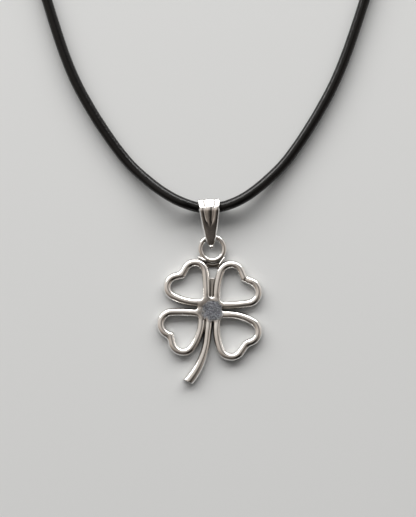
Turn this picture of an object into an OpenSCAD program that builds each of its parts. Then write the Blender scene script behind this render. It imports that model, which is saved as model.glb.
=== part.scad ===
// Four leaf clover pendant on a leather cord, lying flat on a surface.
// Millimetres. +Z is up and +Y runs from the clover towards the clasp. The origin is
// the middle of the clover on its flat back, and everything rests on z = 0.

/* [Clover] */
// Leaf size, which every length in the leaf table is a share of
leaf_size = 10; // [8:0.5:13]
// Width of the leaf wire
wire_w = 1.54; // [1.3:0.02:1.7]
// Height of the leaf wire above its flat back
wire_h = 1.4; // [1.2:0.05:1.7]
// Height of the ground patch in the middle
hub_h = 1.25; // [1:0.05:1.3]
// Reach of the hub plate around each leaf tip
hub_rim = 0.8; // [0.6:0.05:1]
// Height of the thin web between the two upper leaves
web_h = 0.5; // [0.3:0.05:0.8]

/* [Stem] */
// Width of the stem at the hub
stem_w = 1.3; // [1:0.05:1.6]
// Width of the stem at its cut end
stem_end_w = 2.1; // [1.4:0.05:2.6]
// Length of the stem's straight part
stem_straight = 4.4; // [3:0.2:6]
// Radius of the stem's bend
stem_bend_r = 14; // [11:0.5:20]
// Length of the stem's bent part
stem_bend_l = 9.4; // [6:0.2:12]

/* [Ring] */
// Outer diameter of the soldered ring
ring_d = 5.56; // [5:0.02:6.4]
// Thickness of the ring's wire
ring_wire = 1; // [0.8:0.02:1.1]
// How far the ring's bottom lies below the top of the upper left leaf
ring_dip = 0.9; // [0.7:0.05:1.1]
// Radius of the saddle bar that carries the ring
saddle_r = 3.1; // [2.8:0.1:3.6]
// Width of the saddle bar
saddle_w = 0.6; // [0.5:0.02:0.8]
// Height of the saddle bar
saddle_h = 1.1; // [0.9:0.05:1.3]
// How deep the ring is soldered into the saddle bar
solder = 0.12; // [0.08:0.02:0.2]

/* [Bail] */
// Width of the bail at its fold
bail_w = 4.4; // [3.6:0.1:5.4]
// Length of the bail from its fold to its tip
bail_l = 9.4; // [8.6:0.1:11]
// Thickness of the bail's sheet
bail_t = 0.32; // [0.3:0.02:0.45]
// Solid length of the bail's closed tip
bail_tip = 1.2; // [1:0.05:1.6]
// Depth of the two grooves in the bail's front
groove_depth = 0.16; // [0.1:0.01:0.2]
// How much the middle of the bail's front stands out
bail_crown = 0.14; // [0.1:0.01:0.2]

/* [Cord] */
// Diameter of the leather cord
cord_d = 2; // [1.6:0.1:2.2]

/* [Clasp] */
// Length of the barrel clasp
clasp_l = 14; // [12:0.5:18]
// Wall of the clasp around the cord
clasp_wall = 0.55; // [0.4:0.05:0.8]
// Bevel at the clasp's two ends
clasp_bevel = 0.3; // [0.2:0.05:0.35]

/* [Clearances] */
// Gap between the ring's wire and the bail
ring_gap = 0.1; // [0.06:0.01:0.16]
// Gap between the cord and the bail
eye_gap = 0.12; // [0.06:0.01:0.15]
// Gap between the cord and the clasp's sockets
socket_gap = 0.06; // [0.04:0.01:0.1]

/* [Hidden] */

SILVER = [0.83, 0.82, 0.8];
LEATHER = [0.05, 0.05, 0.05];

// Each leaf is a heart whose wire runs from its tip along a wide flank arc, round the
// first lobe, through the notch, round the second lobe and back to the tip, anticlockwise.
// Columns: tip [x, y], notch [x, y], first lobe and second lobe, each
// [x, y, radius, flank radius]. All are shares of the leaf size.
TIP = 0;
NOTCH = 1;
FIRST = 2;
SECOND = 3;
UPPER_LEFT = [
    [-0.121, 0.192], [-0.582, 0.716],
    [-0.334, 0.753, 0.198, 3.3], [-0.664, 0.488, 0.204, 1.06],
];
UPPER_RIGHT = [
    [0.096, 0.138], [0.614, 0.647],
    [0.670, 0.384, 0.219, 2.7], [0.363, 0.707, 0.209, 1.44],
];
LOWER_LEFT = [
    [-0.211, -0.025], [-0.806, -0.451],
    [-0.768, -0.225, 0.225, 4], [-0.563, -0.553, 0.215, 0.92],
];
LOWER_RIGHT = [
    [0.108, -0.061], [0.662, -0.601],
    [0.378, -0.649, 0.219, 1.26], [0.666, -0.371, 0.221, 0.98],
];
LEAVES = [UPPER_LEFT, UPPER_RIGHT, LOWER_LEFT, LOWER_RIGHT];
FLANK_STEPS = 5;
LOBE_STEPS = 14;
// How far up the flanks the web between the upper leaves reaches
WEB_SHARE = 0.8;

// The wire's section: a flat back, then an ellipse from the shoulders over the crown
BACK_SHARE = 0.8;
SHOULDER_SHARE = 0.3;
SECTION_STEPS = 8;

// The stem starts under the hub and leans away to the left
STEM_START = [-0.04, -0.06];
STEM_LEAN = 5;
STEM_CUT_SKEW = -14;
STEM_STEPS = 9;

ring_r = (ring_d - ring_wire) / 2;
leaf_top = leaf_size * (UPPER_LEFT[FIRST][1] + UPPER_LEFT[FIRST][2]) + wire_w / 2;
ring_y = leaf_top - ring_dip + ring_d / 2;
// The ring leans up a little, so that the bail's back passes under its wire
RING_TILT = 4.5;
ring_top_z = bail_t + ring_gap + ring_wire / 2;
ring_z = ring_top_z - ring_r * sin(RING_TILT);
saddle_y = ring_y - ring_d / 2 + solder - saddle_w / 2 + saddle_r;
SADDLE_FROM = 218;
SADDLE_TO = 321;
// Bar under the saddle, at this share of the saddle's width below it
BRIDGE_DROP = 0.9;

// The bail hangs on the ring's wire, a little to its left and turned a little
BAIL_SHIFT = -0.32;
BAIL_TURN = 2.6;
BACK_LEAF_SHARE = 0.93;
BAIL_TIP_Z = 0.42;
BAIL_BELLY = 0.1;
EYE_STEPS = 12;
// Turn round the eye's underside over which the front's relief comes in
RELIEF_TURN = 60;
FRONT_STEPS = 5;
NOSE_STEPS = 8;
// Where the grooves start across the fold, and how far along the bail they meet
GROOVE_SHARE = 0.46;
GROOVE_END = 0.58;

ring_top = ring_y + ring_r;
nose_sag = ring_r - sqrt(pow(ring_r, 2) - pow(bail_w / 4, 2));
nose_r = ring_wire / 2 + ring_gap;
nose = [-nose_sag, ring_top_z];
tip_v = nose.x - nose_r - bail_tip;
eye_r = cord_d / 2 + eye_gap;
fold_v = bail_l + tip_v;
eye = [fold_v - bail_crown - bail_t - eye_r, bail_t + eye_r];
eye_at = [BAIL_SHIFT, ring_top, 0] + eye.x * [-sin(BAIL_TURN), cos(BAIL_TURN), 0] + [0, 0, eye.y];

// The cord's route from the clasp round to the clasp: places in the plane, measured from
// the bail's eye. Its height follows from what it lies on.
CORD_ROUTE = [
    [-4, 188], [-8.5, 188], [-14.5, 186.7], [-21.6, 182.8], [-29, 175.2], [-35.3, 164], [-40, 151],
    [-43, 136.5], [-44, 121], [-43.5, 105.5], [-42, 89.5], [-39.4, 73.5], [-36.4, 58.5], [-32.3, 43.5],
    [-27.4, 28.2], [-22.9, 19], [-16.8, 10], [-11.9, 5.1], [-7, 1.7], [-2.6, 0], [0, 0],
    [2.6, 0.07], [6.6, 1.7], [11.1, 5.1], [15.7, 10], [21.5, 19], [25.9, 28.2], [31, 43.5],
    [35.2, 58.5], [38.2, 73.5], [40.8, 89.5], [42.3, 105.5], [42.8, 121], [41.8, 136.5],
    [38.8, 151], [34.1, 164], [27.8, 175.2], [20.4, 182.8], [13.3, 186.7], [7.5, 188], [3, 188],
];
CORD_SIDES = 8;
CORD_RING_GAP = 6;
// Length over which the cord comes down from the eye or from the clasp
EYE_SLOPE = 12;
CLASP_SLOPE = 18;

cord_r = cord_d / 2;
clasp_r = cord_r + socket_gap + clasp_wall;
clasp_mid = (CORD_ROUTE[0] + CORD_ROUTE[len(CORD_ROUTE) - 1]) / 2;
cord_end = (CORD_ROUTE[len(CORD_ROUTE) - 1].x - CORD_ROUTE[0].x) / 2;
GRIP_GROOVES = 3;
grip_depth = clasp_wall / 4;
grip_pitch = clasp_bevel * 2.4;

// Plane geometry
function dir(a) = [cos(a), sin(a)];
function left_of(v) = [-v.y, v.x];
function bearing(v) = atan2(v.y, v.x);
function flat(v) = [v[0], v[1]];
function onward(from, to) = from + ((to - from) % 360 + 360) % 360;
function arc(c, r, a0, a1, n) = [for (k = [0:n]) c + r * dir(a0 + (a1 - a0) * k / n)];
function mix(a, b, t) = a + (b - a) * t;
function ease(t) = let (u = min(max(t, 0), 1)) u * u * (3 - 2 * u);

// Centre of the wide arc that leaves a leaf's tip and touches its lobe from within.
// way is 1 for the lobe met first and -1 for the other.
function flank_centre(tip, c, r, flank_r, way) =
    let (
        span = c - tip,
        d = norm(span),
        along = (pow(flank_r, 2) - pow(flank_r - r, 2) + d * d) / (2 * d)
    )
    tip + (along * span + way * sqrt(pow(flank_r, 2) - pow(along, 2)) * left_of(span)) / d;

// Middle line of one flank, from the tip to where it touches its lobe
function flank(leaf, lobe, way) =
    let (
        tip = leaf_size * leaf[TIP],
        c = leaf_size * flat(leaf[lobe]),
        flank_r = leaf_size * leaf[lobe][3],
        centre = flank_centre(tip, c, leaf_size * leaf[lobe][2], flank_r, way),
        a0 = bearing(tip - centre),
        a1 = bearing(c - centre),
        a_end = way > 0 ? onward(a0, a1) : a0 - (onward(a1, a0) - a1)
    )
    arc(centre, flank_r, a0, a_end, FLANK_STEPS);

// Middle line of one lobe, from its flank to where a straight line leaves for the notch
function lobe_arc(leaf, lobe, way) =
    let (
        c = leaf_size * flat(leaf[lobe]),
        r = leaf_size * leaf[lobe][2],
        touch = flank(leaf, lobe, way)[FLANK_STEPS],
        to_notch = leaf_size * leaf[NOTCH] - c,
        a0 = bearing(touch - c),
        a1 = bearing(to_notch) - way * acos(r / norm(to_notch)),
        a_end = way > 0 ? onward(a0, a1) : a0 - (onward(a1, a0) - a1)
    )
    [for (k = [1:LOBE_STEPS]) c + r * dir(mix(a0, a_end, k / LOBE_STEPS))];

function reversed(v) = [for (i = [len(v) - 1:-1:0]) v[i]];

// Closed middle line of a leaf's wire, anticlockwise from its tip
function leaf_line(leaf) = concat(
    flank(leaf, FIRST, 1),
    lobe_arc(leaf, FIRST, 1),
    [leaf_size * leaf[NOTCH]],
    reversed(lobe_arc(leaf, SECOND, -1)),
    [for (i = [FLANK_STEPS:-1:1]) flank(leaf, SECOND, -1)[i]]
);

// Section of a half round wire as [across, up], from one edge of its back to the other
function wire_section(w, h) = concat(
    [[w / 2 * BACK_SHARE, 0]],
    [for (k = [0:SECTION_STEPS])
        let (a = 180 * k / SECTION_STEPS)
        [w / 2 * cos(a), h * (SHOULDER_SHARE + (1 - SHOULDER_SHARE) * sin(a))]],
    [[-w / 2 * BACK_SHARE, 0]]
);

// Ring of a section stood up across a flat line at p. across is the side way, already
// stretched where two stretches meet in a mitre.
function stood(section, p, across) = [for (q = section) [p.x + q.x * across.x, p.y + q.x * across.y, q.y]];

function mitre(before, after) =
    let (a = before / norm(before), b = after / norm(after), n = left_of(a + b) / norm(a + b))
    n / (n * left_of(a));

// Solid through closed rings of equal length, with flat ends
module skin(rings) {
    n = len(rings[0]);
    m = len(rings);
    polyhedron(
        points = [for (ring = rings) each ring],
        faces = concat(
            [[for (i = [0:n - 1]) i]],
            [[for (i = [n - 1:-1:0]) (m - 1) * n + i]],
            [for (k = [0:m - 2], i = [0:n - 1])
                [k * n + i, (k + 1) * n + i, (k + 1) * n + (i + 1) % n, k * n + (i + 1) % n]]
        )
    );
}

// The same for rings that close into a loop
module loop_skin(rings) {
    n = len(rings[0]);
    m = len(rings);
    polyhedron(
        points = [for (ring = rings) each ring],
        faces = [for (k = [0:m - 1], i = [0:n - 1])
            [k * n + i, ((k + 1) % m) * n + i, ((k + 1) % m) * n + (i + 1) % n, k * n + (i + 1) % n]]
    );
}

module leaf(shape) {
    line = leaf_line(shape);
    m = len(line);
    section = wire_section(wire_w, wire_h);
    loop_skin([for (i = [0:m - 1])
        let (before = line[i] - line[(i + m - 1) % m], after = line[(i + 1) % m] - line[i])
        stood(section, line[i], mitre(before, after))]);
}

module stem() {
    start = leaf_size * STEM_START;
    heading = -90 - STEM_LEAN;
    bend_at = start + stem_straight * dir(heading);
    centre = bend_at + stem_bend_r * dir(heading - 90);
    turn = stem_bend_l / stem_bend_r * 180 / PI;
    skin(concat(
        [stood(wire_section(stem_w, wire_h), start, left_of(dir(heading)))],
        [for (k = [0:STEM_STEPS])
            let (
                t = k / STEM_STEPS,
                a = heading + 90 - turn * t,
                skew = k == STEM_STEPS ? STEM_CUT_SKEW : 0
            )
            stood(
                wire_section(mix(stem_w, stem_end_w, ease(t)), wire_h),
                centre + stem_bend_r * dir(a),
                dir(a - skew) / cos(skew)
            )]
    ));
}

module hub() {
    linear_extrude(hub_h)
        hull() {
            for (shape = LEAVES) {
                translate(leaf_size * shape[TIP]) circle(hub_rim, $fn = 32);
            }
            translate(leaf_size * STEM_START) circle(hub_rim, $fn = 32);
        }
}

module web() {
    left = flank(UPPER_LEFT, FIRST, 1);
    right = flank(UPPER_RIGHT, SECOND, -1);
    k = floor(WEB_SHARE * FLANK_STEPS);
    linear_extrude(web_h) polygon([left[0], right[0], right[k], left[k]]);
}

module ring() {
    translate([0, ring_y, ring_z])
        rotate([RING_TILT, 0, 0])
            rotate_extrude($fn = 64)
                translate([ring_r, 0]) circle(ring_wire / 2, $fn = 24);
}

// Curved bar that holds the ring, and the straight bar that ties it to both leaves
module saddle() {
    translate([0, saddle_y, 0])
        rotate_extrude(start = SADDLE_FROM, angle = SADDLE_TO - SADDLE_FROM, $fn = 64)
            translate([saddle_r - saddle_w / 2, 0]) square([saddle_w, saddle_h]);
    bar_y = saddle_y - saddle_r - BRIDGE_DROP * saddle_w / 2;
    left_c = leaf_size * flat(UPPER_LEFT[FIRST]);
    right_c = leaf_size * flat(UPPER_RIGHT[SECOND]);
    left_x = left_c.x + sqrt(pow(leaf_size * UPPER_LEFT[FIRST][2], 2) - pow(bar_y - left_c.y, 2));
    right_x = right_c.x - sqrt(pow(leaf_size * UPPER_RIGHT[SECOND][2], 2) - pow(bar_y - right_c.y, 2));
    translate([left_x, bar_y - saddle_w / 2, 0]) cube([right_x - left_x, saddle_w, saddle_h * 0.9]);
}

module clover() {
    color(SILVER) {
        for (shape = LEAVES) {
            leaf(shape);
        }
        stem();
        hub();
        web();
        ring();
        saddle();
    }
}

// The bail in its own plane: along runs from the ring's wire to the fold, up is z.
// Direction in which the bail's front looks, from the two circles that it wraps
function front_angle() =
    let (span = eye - nose)
    bearing(span) + acos((nose_r - eye_r) / norm(span));

// Stations round the bail: [inside point, outside point, how much of the relief shows]
function bail_stations() =
    let (face = front_angle(), outward = dir(face))
    concat(
        [for (k = [0:EYE_STEPS])
            let (a = mix(-90, face, k / EYE_STEPS))
            [eye + eye_r * dir(a), eye + (eye_r + bail_t) * dir(a), ease((a + RELIEF_TURN) / RELIEF_TURN)]],
        [for (k = [1:FRONT_STEPS])
            let (
                t = k / (FRONT_STEPS + 1),
                inside = mix(eye + eye_r * outward, nose + nose_r * outward, t)
            )
            [inside, inside + (bail_t + 4 * BAIL_BELLY * t * (1 - t)) * outward, 1]],
        [for (k = [0:NOSE_STEPS])
            let (
                a = mix(face, 270, k / NOSE_STEPS),
                top = nose.y + nose_r + bail_t,
                up = sin(a) > 0 ? BAIL_TIP_Z + (top - BAIL_TIP_Z) * sin(a) : BAIL_TIP_Z * (1 + sin(a))
            )
            [nose + nose_r * dir(a), [nose.x + (nose.x - tip_v) * cos(a), up], max(sin(a), 0)]],
        [[
            mix(nose, eye, 0.5) - [0, mix(nose_r, eye_r, 0.5)],
            mix(nose, eye, 0.5) - [0, mix(nose.y, eye.y, 0.5)],
            0
        ]]
    );

// Width of the bail's outline at a place along it
function bail_width(v) =
    let (t = min(max((fold_v - v) / bail_l, 0), 0.99))
    bail_w * pow(1 - pow(t, 1.15), 0.55);

// Places across the front, as shares of its half width, that hold the crown and grooves
function relief_columns(g) = [-1, -(1 + g) / 2, -g, -g / 2, 0, g / 2, g, (1 + g) / 2, 1];

function groove_place(v) = mix(GROOVE_SHARE, 0.12, ease((fold_v - v) / bail_l / GROOVE_END));

// Height of the front's relief at column i, for a station at v
function relief(i, q, v) =
    let (fade = 1 - ease(((fold_v - v) / bail_l - GROOVE_END * 0.7) / (GROOVE_END * 0.3)))
    bail_crown * (1 - q * q) - (i == 2 || i == 6 ? groove_depth * fade : 0);

module bail_loop() {
    stations = bail_stations();
    m = len(stations);
    loop_skin([for (k = [0:m - 1])
        let (
            inside = stations[k][0],
            outside = stations[k][1],
            shows = stations[k][2],
            out = (outside - inside) / norm(outside - inside),
            share = mix(BACK_LEAF_SHARE, 1, shows),
            half_in = bail_width(inside.x) * share / 2,
            half_out = bail_width(outside.x) * share / 2,
            columns = relief_columns(groove_place(outside.x))
        )
        concat(
            [for (i = [len(columns) - 1:-1:0])
                let (q = columns[i], p = outside + out * shows * relief(i, q, outside.x))
                [q * half_out, p.x, p.y]],
            [[-half_in, inside.x, inside.y], [half_in, inside.x, inside.y]]
        )]);
}

module bail() {
    color(SILVER)
        translate([BAIL_SHIFT, ring_top, 0]) rotate([0, 0, BAIL_TURN]) bail_loop();
}

// Point of a smooth curve between b and c
function spline(a, b, c, d, t) =
    0.5 * (2 * b + (c - a) * t + (2 * a - 5 * b + 4 * c - d) * t * t
        + (3 * b - a - 3 * c + d) * t * t * t);

// Height of the cord's middle: on the surface, but lifted through the eye and the clasp
function cord_z(p) = cord_r
    + (eye.y - cord_r) * (1 - ease((norm(p) - bail_w / 2) / EYE_SLOPE))
    + (clasp_r - cord_r) * (1 - ease((norm(p - clasp_mid) - clasp_l / 2) / CLASP_SLOPE));

function cord_line() =
    let (
        last = len(CORD_ROUTE) - 1,
        before = 2 * CORD_ROUTE[0] - CORD_ROUTE[1],
        beyond = 2 * CORD_ROUTE[last] - CORD_ROUTE[last - 1],
        r = concat([before], CORD_ROUTE, [beyond])
    )
    concat(
        [for (i = [1:last])
            let (n = max(1, round(norm(r[i + 1] - r[i]) / CORD_RING_GAP)))
            for (k = [0:n - 1]) spline(r[i - 1], r[i], r[i + 1], r[i + 2], k / n)],
        [CORD_ROUTE[last]]
    );

module cord() {
    line = [for (p = cord_line()) [p.x + eye_at.x, p.y + eye_at.y, cord_z(p)]];
    m = len(line);
    color(LEATHER)
        skin([for (i = [0:m - 1])
            let (
                d = line[min(i + 1, m - 1)] - line[max(i - 1, 0)],
                side = [-d.y, d.x, 0] / norm([d.x, d.y]),
                up = cross(d, side) / norm(cross(d, side))
            )
            [for (k = [0:CORD_SIDES - 1])
                let (a = 360 * k / CORD_SIDES)
                line[i] + cord_r * (cos(a) * side + sin(a) * up)]]);
}

// One plain barrel with a blind socket for the cord at each end and a grooved grip
module clasp() {
    half = clasp_l / 2;
    bore_r = cord_r + socket_gap;
    bore_from = cord_end - socket_gap;
    color(SILVER)
        translate([eye_at.x + clasp_mid.x, eye_at.y + clasp_mid.y, clasp_r])
            rotate([0, 90, 0])
                difference() {
                    rotate_extrude($fn = 64)
                        polygon([
                            [0, -half], [clasp_r - clasp_bevel, -half], [clasp_r, clasp_bevel - half],
                            [clasp_r, half - clasp_bevel], [clasp_r - clasp_bevel, half], [0, half]
                        ]);
                    for (way = [-1, 1]) {
                        translate([0, 0, way * (bore_from + half)])
                            cylinder(r = bore_r, h = 2 * half, center = true, $fn = 48);
                    }
                    for (k = [0:GRIP_GROOVES - 1]) {
                        translate([0, 0, (k - (GRIP_GROOVES - 1) / 2) * grip_pitch])
                            rotate_extrude($fn = 64)
                                translate([clasp_r, 0]) circle(grip_depth, $fn = 16);
                    }
                }
}

clover();
bail();
cord();
clasp();
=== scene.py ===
"""Looks of the clover pendant on its leather cord.

Lengths below are in millimetres and turned into metres where meshes are made.
The clover is one solid made from a distance field, so that its soldered and cast
joints get the soft fillets of the real one. Its tables follow those of part.scad, and
the cord's route repeats the one there.
"""

import math

import bpy
import numpy as np
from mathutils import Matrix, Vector


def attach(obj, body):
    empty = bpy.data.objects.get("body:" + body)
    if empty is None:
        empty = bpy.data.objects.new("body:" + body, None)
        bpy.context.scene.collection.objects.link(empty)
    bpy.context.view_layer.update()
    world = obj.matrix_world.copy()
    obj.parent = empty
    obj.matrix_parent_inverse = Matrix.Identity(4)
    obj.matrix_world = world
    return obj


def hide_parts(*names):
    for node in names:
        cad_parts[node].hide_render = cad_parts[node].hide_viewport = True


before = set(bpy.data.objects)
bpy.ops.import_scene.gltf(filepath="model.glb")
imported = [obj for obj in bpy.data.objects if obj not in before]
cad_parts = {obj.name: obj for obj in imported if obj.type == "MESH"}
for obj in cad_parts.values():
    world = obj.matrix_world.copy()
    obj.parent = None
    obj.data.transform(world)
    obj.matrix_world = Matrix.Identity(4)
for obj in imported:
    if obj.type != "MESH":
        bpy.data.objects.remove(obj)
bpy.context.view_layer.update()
MM = 0.001

# Camera and stage

PX = 0.192                       # millimetres per pixel of the photograph
VIEW_W, VIEW_H = 416, 517
CLOVER_PX = (212.3, 312.0)       # the clover's middle, in pixels of the photograph
AIM = ((VIEW_W / 2 - CLOVER_PX[0]) * PX, (CLOVER_PX[1] - VIEW_H / 2) * PX)
HEIGHT = 640.0                   # camera above the clover
FOCUS_Z = 1.0                    # height at which the scale above holds
SENSOR = 36.0

# The studio: sizes in metres, directions in degrees, power in watts and plain tones
SOFTBOX_SIZE, SOFTBOX_REACH, SOFTBOX_POWER = (2.6, 0.5), 1.05, 27.8
SOFTBOX_POLAR, SOFTBOX_TURN = 62, 98
FLOOR_HALF, FLOOR_FADE = 6.0, (0.15, 0.42)
FLOOR_TONE = (0.718, 0.72, 0.714, 1)
BACKDROP_TONE = (0.62, 0.62, 0.61, 1)
# The dome as a product of two ramps plus a product of two more. Each stop is a share of
# the way from the middle to that side, and a brightness.
DOME_DEPTH = ((-1, 0.03), (-0.95, 0.13), (-0.88, 0.13), (-0.78, 0.04), (-0.45, 0.04), (-0.22, 0.22),
              (0, 0.4), (0.25, 0.5), (0.5, 0.8), (0.7, 0.95), (0.9, 0.95), (1, 0.5))
DOME_ACROSS = ((-1, 0.25), (-0.6, 0.35), (-0.15, 1.0), (0.1, 1.0), (0.27, 0.3), (0.5, 0.25),
               (0.6, 0.5), (1, 0.4))
DOME_SIDES = ((-1, 0.5), (-0.5, 0.48), (-0.15, 0.08), (0, 0.0), (0.53, 0.0), (0.62, 0.38),
              (0.95, 0.4), (1, 0.1))
DOME_MIDDLE = ((-1, 0.0), (-0.75, 0.1), (-0.5, 0.45), (-0.1, 0.85), (0.3, 1.0), (1, 0.6))
DOME_WARM, DOME_FAINT = (1.16, 1.0, 0.875, 1), (1.055, 1.0, 0.95, 1)
DOME_ON_FLOOR = 0.45             # share of the dome that lights the bare floor


def make_camera():
    data = bpy.data.cameras.new("camera")
    data.sensor_fit = "VERTICAL"
    data.sensor_height = SENSOR
    data.lens = SENSOR * (HEIGHT - FOCUS_Z) / (VIEW_H * PX)
    data.clip_start = 0.01
    data.clip_end = 50.0
    camera = bpy.data.objects.new("camera", data)
    camera.location = (AIM[0] * MM, AIM[1] * MM, HEIGHT * MM)
    camera.rotation_euler = (0, 0, 0)
    bpy.context.scene.collection.objects.link(camera)
    bpy.context.scene.camera = camera


def nodes_of(owner):
    """The owner's emptied node tree, with its nodes and its links."""
    owner.use_nodes = True
    tree = owner.node_tree
    tree.nodes.clear()
    return tree, tree.nodes, tree.links


def add_noise(nodes, links, vector, scale, detail=3.0, rough=0.5, stretch=None):
    if stretch is not None:
        mapping = nodes.new("ShaderNodeMapping")
        mapping.inputs["Scale"].default_value = stretch
        links.new(vector, mapping.inputs["Vector"])
        vector = mapping.outputs[0]
    noise = nodes.new("ShaderNodeTexNoise")
    noise.inputs["Scale"].default_value = scale
    noise.inputs["Detail"].default_value = detail
    noise.inputs["Roughness"].default_value = rough
    links.new(vector, noise.inputs["Vector"])
    return noise.outputs["Fac"]


def add_attribute(nodes, name):
    attribute = nodes.new("ShaderNodeAttribute")
    attribute.attribute_name = name
    return attribute.outputs["Fac"]


def add_range(nodes, links, source, from_lo, from_hi, to_lo, to_hi):
    remap = nodes.new("ShaderNodeMapRange")
    remap.inputs["From Min"].default_value = from_lo
    remap.inputs["From Max"].default_value = from_hi
    remap.inputs["To Min"].default_value = to_lo
    remap.inputs["To Max"].default_value = to_hi
    links.new(source, remap.inputs["Value"])
    return remap.outputs[0]


def set_or_link(links, value, socket):
    """Gives the socket a plain value, or links it to another node's output."""
    if hasattr(value, "is_linked"):
        links.new(value, socket)
    else:
        socket.default_value = value


def add_mix(nodes, links, factor, a, b, kind="MIX"):
    mix = nodes.new("ShaderNodeMix")
    mix.data_type = "RGBA"
    mix.blend_type = kind
    set_or_link(links, factor, mix.inputs["Factor"])
    set_or_link(links, a, mix.inputs["A"])
    set_or_link(links, b, mix.inputs["B"])
    return mix.outputs["Result"]


def add_math(nodes, links, kind, a, b):
    maths = nodes.new("ShaderNodeMath")
    maths.operation = kind
    set_or_link(links, a, maths.inputs[0])
    set_or_link(links, b, maths.inputs[1])
    return maths.outputs[0]


def add_ramp(nodes, links, source, stops):
    """Grey ramp over a source that runs from -1 to 1."""
    ramp = nodes.new("ShaderNodeValToRGB")
    links.new(add_range(nodes, links, source, -1, 1, 0, 1), ramp.inputs[0])
    ramp.color_ramp.interpolation = "EASE"
    elements = ramp.color_ramp.elements
    while len(elements) > 1:
        elements.remove(elements[-1])
    for i, (place, value) in enumerate(stops):
        stop = elements[0] if i == 0 else elements.new((place + 1) / 2)
        stop.position = (place + 1) / 2
        stop.color = (value, value, value, 1)
    return ramp.outputs[0]


def make_world():
    """A studio as a soft dome: bright behind the clover, grey above it and dark in front."""
    world = bpy.data.worlds.new("studio")
    bpy.context.scene.world = world
    tree, nodes, links = nodes_of(world)
    out = nodes.new("ShaderNodeOutputWorld")
    coord = nodes.new("ShaderNodeTexCoord")
    split = nodes.new("ShaderNodeSeparateXYZ")
    links.new(coord.outputs["Generated"], split.inputs[0])
    x, y = split.outputs["X"], split.outputs["Y"]
    path = nodes.new("ShaderNodeLightPath")
    on_floor = path.outputs["Is Diffuse Ray"]
    main = add_mix(nodes, links, 1, add_ramp(nodes, links, y, DOME_DEPTH),
                   add_ramp(nodes, links, x, DOME_ACROSS), "MULTIPLY")
    rest = add_mix(nodes, links, 1, add_ramp(nodes, links, x, DOME_SIDES),
                   add_ramp(nodes, links, y, DOME_MIDDLE), "MULTIPLY")
    total = add_mix(nodes, links, 1, main, rest, "ADD")
    # the silver mirrors a room that is warm where it is dark; the floor is lit without a tint
    behind = add_range(nodes, links, y, -0.5, 0.3, 0, 1)
    warm = add_mix(nodes, links, behind, DOME_WARM, DOME_FAINT)
    tint = add_mix(nodes, links, on_floor, warm, (1.0, 1.0, 1.0, 1))
    dome = nodes.new("ShaderNodeBackground")
    links.new(add_mix(nodes, links, 1, total, tint, "MULTIPLY"), dome.inputs["Color"])
    # bare floor gets less of the dome than polished silver mirrors, as under a black canopy
    links.new(add_range(nodes, links, on_floor, 0, 1, 1, DOME_ON_FLOOR), dome.inputs["Strength"])
    # what a camera sees past the floor's edge is a plain pale backdrop
    backdrop = nodes.new("ShaderNodeBackground")
    backdrop.inputs["Color"].default_value = BACKDROP_TONE
    pick = nodes.new("ShaderNodeMixShader")
    links.new(path.outputs["Is Camera Ray"], pick.inputs[0])
    links.new(dome.outputs[0], pick.inputs[1])
    links.new(backdrop.outputs[0], pick.inputs[2])
    links.new(pick.outputs[0], out.inputs[0])


def make_softbox():
    """The key light: one large softbox low behind the clover, a little to the left."""
    light = bpy.data.lights.new("softbox", "AREA")
    light.shape = "RECTANGLE"
    light.size, light.size_y = SOFTBOX_SIZE
    light.energy = SOFTBOX_POWER
    light.color = (1.0, 0.995, 0.985)
    box = bpy.data.objects.new("softbox", light)
    polar, turn = math.radians(SOFTBOX_POLAR), math.radians(SOFTBOX_TURN)
    spot = Vector((math.cos(turn) * math.sin(polar), math.sin(turn) * math.sin(polar), math.cos(polar)))
    box.location = spot * SOFTBOX_REACH
    box.rotation_euler = spot.to_track_quat("Z", "Y").to_euler()
    box.visible_camera = False
    bpy.context.scene.collection.objects.link(box)


def make_floor():
    mesh = bpy.data.meshes.new("floor")
    corners = [(x * FLOOR_HALF, y * FLOOR_HALF, 0) for x, y in ((-1, -1), (1, -1), (1, 1), (-1, 1))]
    mesh.from_pydata(corners, [], [(0, 1, 2, 3)])
    floor = bpy.data.objects.new("floor", mesh)
    bpy.context.scene.collection.objects.link(floor)
    material = bpy.data.materials.new("floor")
    tree, nodes, links = nodes_of(material)
    out = nodes.new("ShaderNodeOutputMaterial")
    shader = nodes.new("ShaderNodeBsdfPrincipled")
    shader.inputs["Base Color"].default_value = FLOOR_TONE
    shader.inputs["Roughness"].default_value = 0.8
    shader.inputs["Specular IOR Level"].default_value = 0.2
    # far from the necklace the floor runs into the backdrop without a horizon
    far = nodes.new("ShaderNodeEmission")
    far.inputs["Color"].default_value = BACKDROP_TONE
    reach = nodes.new("ShaderNodeVectorMath")
    reach.operation = "LENGTH"
    links.new(nodes.new("ShaderNodeTexCoord").outputs["Object"], reach.inputs[0])
    fade = nodes.new("ShaderNodeMapRange")
    fade.interpolation_type = "SMOOTHSTEP"
    fade.inputs["From Min"].default_value, fade.inputs["From Max"].default_value = FLOOR_FADE
    links.new(reach.outputs["Value"], fade.inputs["Value"])
    pick = nodes.new("ShaderNodeMixShader")
    links.new(fade.outputs[0], pick.inputs[0])
    links.new(shader.outputs[0], pick.inputs[1])
    links.new(far.outputs[0], pick.inputs[2])
    links.new(pick.outputs[0], out.inputs[0])
    mesh.materials.append(material)


# Materials

SILVER_WORN, SILVER_BRIGHT = (0.84, 0.825, 0.80, 1), (0.9, 0.89, 0.87, 1)
TARNISH_AND_SHADE = (0.2, 0.185, 0.165, 1)
GROUND_DARK, GROUND_PALE = (0.044, 0.047, 0.053, 1), (0.324, 0.342, 0.376, 1)
RIB_GROOVE_SHADE = (0.075, 0.072, 0.068, 1)
LEATHER_DARK, LEATHER_WORN = (0.0015, 0.0015, 0.0015, 1), (0.006, 0.0058, 0.0055, 1)


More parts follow.
